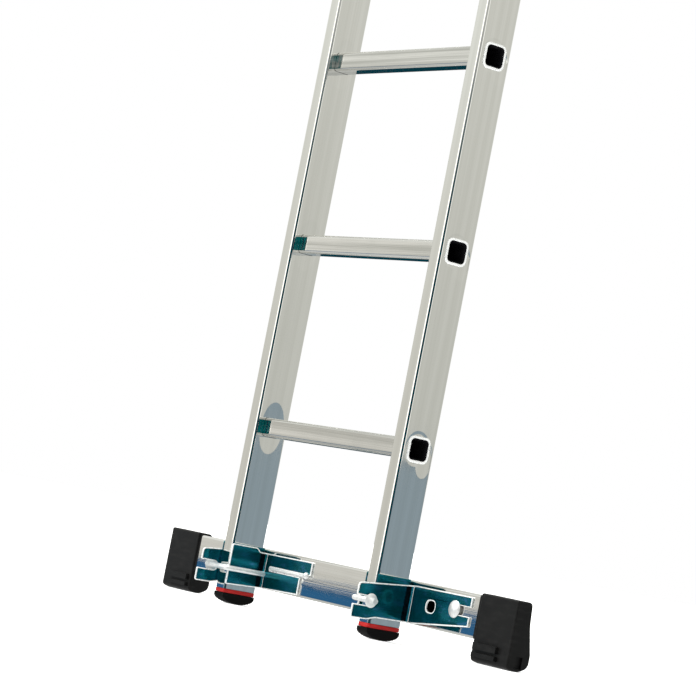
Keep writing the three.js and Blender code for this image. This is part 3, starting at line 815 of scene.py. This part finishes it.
def add_bracket(node, stile, outside, bar_leg, holes=()):
    """An angle: a leg along the stile's side, forked if it is outside, and a leg along the bar.

    The bar leg's end is a list of (x, z, corner radius) from its bottom edge to its top edge.
    """
    low, high = box(node)
    near, far = sorted((abs(low.x), abs(high.x)))
    if outside < 0:
        near, far = far, near
    stile_x, end_x = stile * (near + outside * SHEET / 2), stile * far
    bar_y = high.y - SHEET / 2
    corner = bar_y - low.y
    leg_end = [(corner + abs(x - stile_x), z, radius) for x, z, radius in bar_leg]
    if outside > 0:
        droop = FORK_DROOP * corner
        slot_low, slot_high, slot_end = HOOK_Z - 7.5, HOOK_Z + 5.5, BASE_FRONT - 2.5 - low.y
        bottom = [
            (0, LEG_BOTTOM - 0.6 * droop, 4), (27, LEG_BOTTOM - 0.55 * droop, 8),
            (42, LEG_BOTTOM - 1, 8),
        ]
        top = [
            (5, LEG_TOP - 0.95 * droop, 6), (5, slot_high, 2), (slot_end, slot_high, 6.4),
            (slot_end, slot_low, 6.4), (0, slot_low, 2),
        ]
    else:
        shoulder = 22 if stile > 0 else 2
        bottom = [(0, LEG_BOTTOM - 2.6, 3)]
        top = [
            (corner - 10.5, LEG_TOP, 3), (corner - 16.5, high.z, 3), (shoulder, high.z, 3),
            (0, high.z - shoulder, 6),
        ]
    points = [*bottom, (corner + 12, LEG_BOTTOM, 6), *leg_end, (corner + 12, LEG_TOP, 6), *top]
    outline = rounded([point[:2] for point in points], [point[2] for point in points])
    cuts = [rounded_box(corner + abs(x - stile_x), *rest) for x, *rest in holes]
    path = [(stile_x, low.y), (stile_x, bar_y), (end_x, bar_y)]
    # Shaded: each bend gets a painted shade strip and a painted highlight line.
    sheet = folded_sheet([outline, *cuts], path, SHEET, BEND + SHEET / 2, shaded=True)
    place(node, sheet, highlight_and_fitting_steel, bend_shade)


def add_brackets():
    slot_low, slot_high = bolt_right.z - BOLT_SLOT_HALF, bolt_right.z + BOLT_SLOT_HALF
    slot_start = bolt_right.x - BOLT_SLOT_HALF
    end = box("outer_bracket_right")[1].x
    add_bracket("outer_bracket_right", 1, 1, [
        (end, LEG_BOTTOM + 13, 3), (end, slot_low, 1), (slot_start, slot_low, 6.4),
        (slot_start, slot_high, 6.4), (end, slot_high, 1), (end, LEG_TOP + 1, 3),
    ], [(*OBLONG_HOLE, 20, 16, 7.9, 8)])
    slot_low, slot_high = RAIL_Z - RAIL_SLOT_HALF, RAIL_Z + RAIL_SLOT_HALF
    end = box("inner_bracket_left")[1].x
    add_bracket("inner_bracket_left", -1, -1, [
        (end - 26, LEG_BOTTOM + 2.4, 3), (end - 26, slot_low, 2), (RAIL_SLOT_START, slot_low, 2.3),
        (RAIL_SLOT_START, slot_high, 2.3), (end, slot_high, 2), (end, LEG_TOP + 1, 3),
    ])
    for node, stile, outside in (("inner_bracket_right", 1, -1), ("outer_bracket_left", -1, 1)):
        low, high = box(node)
        end = min(low.x, high.x, key=lambda x: stile * outside * -x)
        add_bracket(node, stile, outside, [(end, LEG_BOTTOM, 3), (end, LEG_TOP + 1, 3)])


def add_hook_bolt(node, side):
    """A hooked tie rod with a round head on its cross piece and a thread on its tail."""
    low, high = box(node)
    cross_y = BASE_FRONT - 9
    shank_x, bend = HOOK_X, 8
    head_x = max(abs(low.x), abs(high.x)) - 12
    path = [(shank_x, bar_low.y)]
    path += [(shank_x, cross_y + bend + 10)]
    path += [(shank_x + bend - bend * math.cos(t), cross_y + bend - bend * math.sin(t))
             for t in (math.radians(9 * step) for step in range(11))]
    path += [(head_x + 11, cross_y)]
    rings = []
    for index, point in enumerate(path):
        before = Vector(path[max(index - 1, 0)])
        after = Vector(path[min(index + 1, len(path) - 1)])
        way = (after - before).normalized()
        across = Vector((way.y, -way.x, 0))
        centre = Vector((*point, HOOK_Z))
        section = circle(0, 0, HOOK_RADIUS, 24)
        rings.append([centre + across * a + Vector((0, 0, b)) for a, b in section])
    tip = [
        (0, 0), (10, 0), (10, 0.4), (9.6, 1), (8.6, 1.6), (5, 2.4), (4.6, 3), (0, 3.2),
    ]
    rod = loft(rings)
    head = lathe(tip, (head_x, cross_y, HOOK_Z), (1, 0, 0))
    thread = threaded(shank_x, bar_low.y - 1, high.y)
    bm = joined(rod, head, thread)
    bmesh.ops.scale(bm, vec=(side, 1, 1), verts=bm.verts)
    bmesh.ops.recalc_face_normals(bm, faces=bm.faces)
    place(node, bm)


def threaded(x, start, end):
    """A threaded rod along Y, with its end chamfered."""
    around, per_pitch = 20, 4
    steps = int((end - start) / THREAD_PITCH * per_pitch)
    rings = []
    for step in range(steps + 1):
        y = start + (end - start) * step / steps
        ring = []
        for index in range(around):
            angle = 2 * math.pi * index / around
            phase = (y / THREAD_PITCH - index / around) % 1
            radius = HOOK_RADIUS - 0.6 * abs(2 * phase - 1)
            radius = min(radius, 2.8 + (end - y))
            ring.append((x + radius * math.cos(angle), y, HOOK_Z + radius * math.sin(angle)))
        rings.append(ring)
    return loft(rings)


def add_wing_nut(node):
    """A pressed wing nut behind the bar."""
    low, high = box(node)
    x = (low.x + high.x) / 2
    start = low.y
    profile = [(BOLT_HOLE, 0), (8.4, 0), (8.4, 2), (7.4, 7), (6.6, 9.6), (6, 10),
               (BOLT_HOLE, 10), (BOLT_HOLE, 0)]
    hub = lathe(profile, (x, start, HOOK_Z), (0, 1, 0))
    wing = rounded([(6, -3), (21, 0), (24, 6), (19, 9.5), (6, 5.5)], [2, 5, 4, 4, 2])
    outlines = [[(x + way * a, HOOK_Z + b) for a, b in wing] for way in (-1, 1)]
    wings = [solid("y", [outline], start + 3, start + 7.5, 1.2) for outline in outlines]
    place(node, joined(hub, *wings))


def add_bar_bolt(label, head_radius):
    """A round-headed bolt through a bracket and the bar, with its nut behind."""
    low, high = box(f"{label}_bolt")
    centre = middle(f"{label}_nut")
    head_y = low.y + 5
    profile = [
        (0, 0), (head_radius * 0.35, 0.15), (head_radius * 0.66, 1), (head_radius * 0.88, 2.5),
        (head_radius, 4.2), (head_radius, 4.8), (head_radius * 0.94, 5), (4, 5), (4, 8),
    ]
    head = lathe([(r, d - 5) for r, d in profile], (centre.x, head_y, centre.z), (0, 1, 0))
    length = high.y - head_y
    shank = lathe([(4, 0), (4, length - 1), (3, length), (0, length)],
                  (centre.x, head_y, centre.z), (0, 1, 0), 24)
    parts = [head, shank]
    neck = BOLT_SLOT_HALF - GAP
    if head_radius > neck:
        # the round shoulder that fills the bracket's slot
        depth = bar_low.y - GAP - head_y
        shoulder = [(0, 0), (neck, 0), (neck, depth), (0, depth)]
        parts.append(lathe(shoulder, (centre.x, head_y, centre.z), (0, 1, 0), 32))
    if low.x < centre.x - 20:
        # the round rail that fills the bracket's slot
        rail = [(0, 0), (RAIL_RADIUS - 0.8, 0), (RAIL_RADIUS, 0.8), (RAIL_RADIUS, centre.x - low.x)]
        parts.append(lathe(rail, (low.x, bar_low.y - GAP - RAIL_RADIUS, RAIL_Z), (1, 0, 0), 32))
    place(f"{label}_bolt", joined(*parts))
    nut_low, nut_high = box(f"{label}_nut")
    hexagon = circle(centre.x, centre.z, 7.5, 6)
    bore = circle(centre.x, centre.z, BOLT_HOLE, 24)
    nut = solid("y", [hexagon, bore], nut_low.y, nut_high.y, 0.6)
    place(f"{label}_nut", nut)


# ---- guides and rung locks --------------------------------------------------------------------
def add_guide(node, side, own_y, other_y):
    """A bent strap riveted to one section that laps round the other section's edge."""
    low, high = box(node)
    way = math.copysign(1, other_y - own_y)
    thick = 3
    pad = STILE_OUTER + GAP + thick / 2
    clear = STILE_OUTER + 4 + thick / 2
    lip_y = other_y + way * (HALF_DEPTH + GAP + thick / 2)
    start = own_y - way * 22
    joggle = own_y + way * 15
    path = [
        (pad, start), (pad, joggle), (clear, joggle + way * 6), (clear, lip_y),
        (STILE_OUTER - 11, lip_y),
    ]
    path = [(side * x, y) for x, y in path]
    length = sum((Vector(b) - Vector(a)).length for a, b in zip(path, path[1:]))
    outline = rounded(rectangle(0, low.z, length, high.z), 3)
    strap = folded_sheet([outline], path, thick, 2.6)
    parts = [strap]
    for z in (low.z + 11, high.z - 11):
        for y in (own_y - way * 15, own_y + way * 5):
            rivet = [(0, 2), (1.8, 1.8), (3.2, 1.1), (RIVET, 0.2), (RIVET, -0.4), (0, -0.4)]
            centre = (side * (pad + thick / 2), y, z)
            parts.append(lathe(rivet, centre, (side, 0, 0), 24))
            for skin in parts[-1].faces:
                skin.material_index = 1
    place(node, joined(*parts), highlight_and_fitting_steel)


def add_lock_plate(node, side):
    """The plate and stud that carry a rung lock, riveted to the fly stile's inside face."""
    low, high = box(node)
    face = max(abs(low.x), abs(high.x))
    tip = min(abs(low.x), abs(high.x))
    pivot_y, pivot_z = lock_pivot(side)
    y, z = (low.y + high.y) / 2, (low.z + high.z) / 2
    outline = rounded_box(y, z, high.y - low.y, high.z - low.z, 6)
    sheet = highlight_rims(plate([outline], 3, 0.5), RIM_HIGHLIGHT)
    bmesh.ops.transform(sheet, verts=sheet.verts, matrix=AXES["x"])
    bmesh.ops.translate(sheet, verts=sheet.verts, vec=(side * (face - 1.5), 0, 0))
    reach = face - tip
    profile = [
        (0, reach), (3, reach), (4, reach - 0.6), (4, reach - 0.8), (8, reach - 0.8),
        (8.2, reach - 1.2), (8.2, reach - 2.2), (8, reach - 2.5), (4, reach - 2.5), (4, 1), (0, 1),
    ]
    stud = lathe(profile, (side * face, pivot_y, pivot_z), (-side, 0, 0))
    parts = [sheet, stud]
    for corner_y in (low.y + 7, high.y - 7):
        # almost flush, so that the lock swings past it
        rivet = [(0, 3.25), (3.4, 3.25), (RIVET, 3.1), (RIVET, 2.5), (0, 2.5)]
        parts.append(lathe(rivet, (side * face, corner_y, high.z - 7), (-side, 0, 0), 24))
    for part in parts[1:]:
        for skin in part.faces:
            skin.material_index = 1
    place(node, joined(*parts), highlight_and_fitting_steel)


def lock_pivot(side):
    name = "lock_right_swing" if side > 0 else "lock_left_swing"
    joint = next(joint for joint in frame["joints"] if joint["name"] == name)
    return joint["pos_m"][1] / MM, joint["pos_m"][2] / MM


def add_rung_lock(node, side):
    """The hook that drops over a rung of the base section."""
    low, high = box(node)
    pivot_y, pivot_z = lock_pivot(side)
    under = fly_rungs[0] + RUNG_HALF + 1.5
    lip = BASE_Y + RUNG_HALF + 1.5
    corners = [
        (pivot_y - 9, pivot_z - 4), (pivot_y - 4, pivot_z - 10), (BASE_Y - 30, under + 2),
        (BASE_Y - 16, under), (lip, under), (lip, under - 20), (lip + 3, under - 23),
        (lip + 9, under - 20), (lip + 9, under + 6), (lip + 3, under + 13),
        (pivot_y + 12, pivot_z + 10), (pivot_y, pivot_z + 12), (pivot_y - 8, pivot_z + 7),
    ]
    outline = rounded(corners, [6, 6, 8, 6, 2, 2, 2, 4, 8, 8, 12, 10, 10])
    hole = circle(pivot_y, pivot_z, BOLT_HOLE, 24)
    arm = highlight_rims(plate([outline, hole], high.x - low.x, 0.9), RIM_HIGHLIGHT)
    bmesh.ops.transform(arm, verts=arm.verts, matrix=AXES["x"])
    bmesh.ops.translate(arm, verts=arm.verts, vec=((low.x + high.x) / 2, 0, 0))
    place(node, arm, highlight_and_fitting_steel)


# ---- the ladder -------------------------------------------------------------------------------
def build_ladder():
    for label, side in SIDES:
        add_stile(f"base_stile_{label}", side, base_rungs)
        add_stile(f"fly_stile_{label}", side, fly_rungs)
        add_cap(f"base_cap_{label}", 1)
        add_cap(f"fly_cap_top_{label}", 1)
        add_cap(f"fly_cap_bottom_{label}", -1)
        add_sole(f"foot_sole_{label}")
        add_collar(f"foot_collar_{label}")
        add_end_foot(f"stabiliser_foot_{label}", side)
        add_saddle(f"clamp_saddle_{label}", side)
        add_hook_bolt(f"hook_bolt_{label}", side)
        add_wing_nut(f"wing_nut_{label}")
        add_guide(f"base_guide_{label}", side, BASE_Y, FLY_Y)
        add_guide(f"fly_guide_{label}", side, FLY_Y, BASE_Y)
        add_lock_plate(f"lock_plate_{label}", side)
        add_rung_lock(f"rung_lock_{label}", side)
    for number in range(1, 9):
        add_rung(f"base_rung_{number}")
        add_rung(f"fly_rung_{number}")
    add_bar()
    add_brackets()
    add_bar_bolt("bar_right", 12)
    add_bar_bolt("bar_left", 5)


# ---- studio -----------------------------------------------------------------------------------
CAMERA_PLACE = Vector((3.3117, -2.2660, 0.1413))
CAMERA_TURN = math.radians(55.61)
CAMERA_RISE = math.radians(3.67)
CAMERA_ROLL = math.radians(11.06)
CAMERA_LENS = 143.98
HORIZON_RISE = 0.21  # degrees
HORIZON_TILT = 1.41
HORIZON_HIGH_SIDE = 124.0


def add_camera():
    """A long lens low down on the ladder's right, looking slightly up and rolled."""
    ahead = Vector((
        -math.sin(CAMERA_TURN) * math.cos(CAMERA_RISE),
        math.cos(CAMERA_TURN) * math.cos(CAMERA_RISE),
        math.sin(CAMERA_RISE),
    ))
    level = Vector((math.cos(CAMERA_TURN), math.sin(CAMERA_TURN), 0))
    upright = level.cross(ahead)
    right = math.cos(CAMERA_ROLL) * level + math.sin(CAMERA_ROLL) * upright
    up = math.cos(CAMERA_ROLL) * upright - math.sin(CAMERA_ROLL) * level
    camera = bpy.data.objects.new("camera", bpy.data.cameras.new("camera"))
    bpy.context.scene.collection.objects.link(camera)
    camera.data.lens = CAMERA_LENS
    camera.data.clip_end = 100
    turned = Matrix((right, up, -ahead)).transposed().to_4x4()
    camera.matrix_world = Matrix.Translation(CAMERA_PLACE) @ turned
    bpy.context.scene.camera = camera


def add_world():
    """A white studio for the camera, and its walls, lamps and far floor for light and gloss."""
    world = bpy.data.worlds.new("studio")
    bpy.context.scene.world = world
    world.use_nodes = True
    tree = world.node_tree
    tree.nodes.clear()
    way = add_node(tree, "ShaderNodeTexCoord").outputs["Generated"]
    x, y, z = add_node(tree, "ShaderNodeSeparateXYZ", Vector=way).outputs
    degrees = 180 / math.pi
    # round the ladder: 0 in front of it, 90 on its right, 180 behind it
    turn = maths(tree, "ARCTAN2", x, maths(tree, "MULTIPLY", y, -1.0))
    turn = maths(tree, "MULTIPLY", turn, degrees)
    rise = maths(tree, "MULTIPLY", maths(tree, "ARCSINE", z), degrees)
    # where the studio's walls meet its far floor, a little higher on one side
    away = maths(tree, "DIVIDE", maths(tree, "SUBTRACT", turn, HORIZON_HIGH_SIDE), degrees)
    swing = maths(tree, "MULTIPLY", maths(tree, "COSINE", away), HORIZON_TILT)
    horizon = maths(tree, "ADD", swing, HORIZON_RISE)
    above = maths(tree, "SUBTRACT", rise, horizon)

    # the walls, their bright windows and a dark one
    wall = mix(tree, ramp(tree, rise, 0, 14), (0.64, 0.63, 0.585), (0.84, 0.85, 0.81))
    wall = mix(tree, ramp(tree, rise, 25, 60), wall, (1.5, 1.5, 1.5))
    side_wall = mix(tree, ramp(tree, rise, 0, 14), (0.57, 0.575, 0.54), (0.67, 0.67, 0.63))
    wall = mix(tree, window(tree, turn, 112, 175, 6), wall, side_wall)
    wall = mix(tree, window(tree, turn, -36, 8, 5), wall, (1.7, 1.68, 1.6))
    wall = mix(tree, window(tree, turn, 98, 110, 4), wall, (1.25, 1.25, 1.2))
    dark_wall = mix(tree, ramp(tree, rise, 6, 13), (0.004, 0.02, 0.04), (0.6, 0.6, 0.58))
    wall = mix(tree, window(tree, turn, 16, 92, 4), wall, dark_wall)

    # the far floor is a darker band under the walls, and light near the ladder
    band = (0.27, 0.335, 0.38)
    blue = mix(tree, ramp(tree, above, -5, -3), band, (0.03, 0.125, 0.27))
    band = mix(tree, window(tree, turn, -90, -36, 5), band, blue)
    band = mix(tree, window(tree, turn, 16, 92, 4), band, (0.004, 0.02, 0.04))
    floor = mix(tree, ramp(tree, above, -45, -30), (0.95, 0.95, 0.94), (0.6, 0.61, 0.6))
    band = mix(tree, ramp(tree, above, -8, -6), floor, band)
    under = window(tree, turn, -133, -116, 2)
    under = maths(tree, "MULTIPLY", under, ramp(tree, above, -20, -17))
    band = mix(tree, under, band, (0.002, 0.04, 0.06))
    line = window(tree, above, -0.06, -0.02, 0.02)
    colour = mix(tree, ramp(tree, above, -0.02, 0.02), band, wall)
    patch = maths(tree, "MULTIPLY", window(tree, turn, 50, 61, 2), window(tree, rise, -6, 9, 1))
    colour = mix(tree, patch, colour, (0.002, 0.11, 0.12))
    colour = mix(tree, line, colour, (0.01, 0.05, 0.11))

    seen = add_node(tree, "ShaderNodeLightPath").outputs["Is Camera Ray"]
    colour = mix(tree, seen, colour, (1.0, 1.0, 1.0))
    background = add_node(tree, "ShaderNodeBackground", Color=colour, Strength=1.0)
    add_node(tree, "ShaderNodeOutputWorld", Surface=background.outputs[0])


def add_floor():
    """A plain white floor, which gloss doesn't pick up."""
    bpy.ops.mesh.primitive_plane_add(size=60)
    floor = bpy.context.active_object
    floor.name = "floor"
    floor.data.materials.append(new_material(
        "floor", Base_Color=(0.93, 0.93, 0.93, 1), Roughness=0.9,
        Emission_Color=(1, 1, 1, 1), Emission_Strength=0.45)[0])
    floor.visible_glossy = False


def add_lamps():
    """A very soft key from above the front left, which also fills the floor."""
    sun = bpy.data.lights.new("key", "SUN")
    sun.energy = 2.2
    sun.angle = math.radians(40)
    lamp = bpy.data.objects.new("key", sun)
    lamp.rotation_euler = (math.radians(38), 0, math.radians(-30))
    bpy.context.scene.collection.objects.link(lamp)


bpy.context.scene.view_settings.view_transform = "Standard"
bpy.context.scene.view_settings.look = "None"
add_camera()
add_world()
add_floor()
add_lamps()
build_ladder()
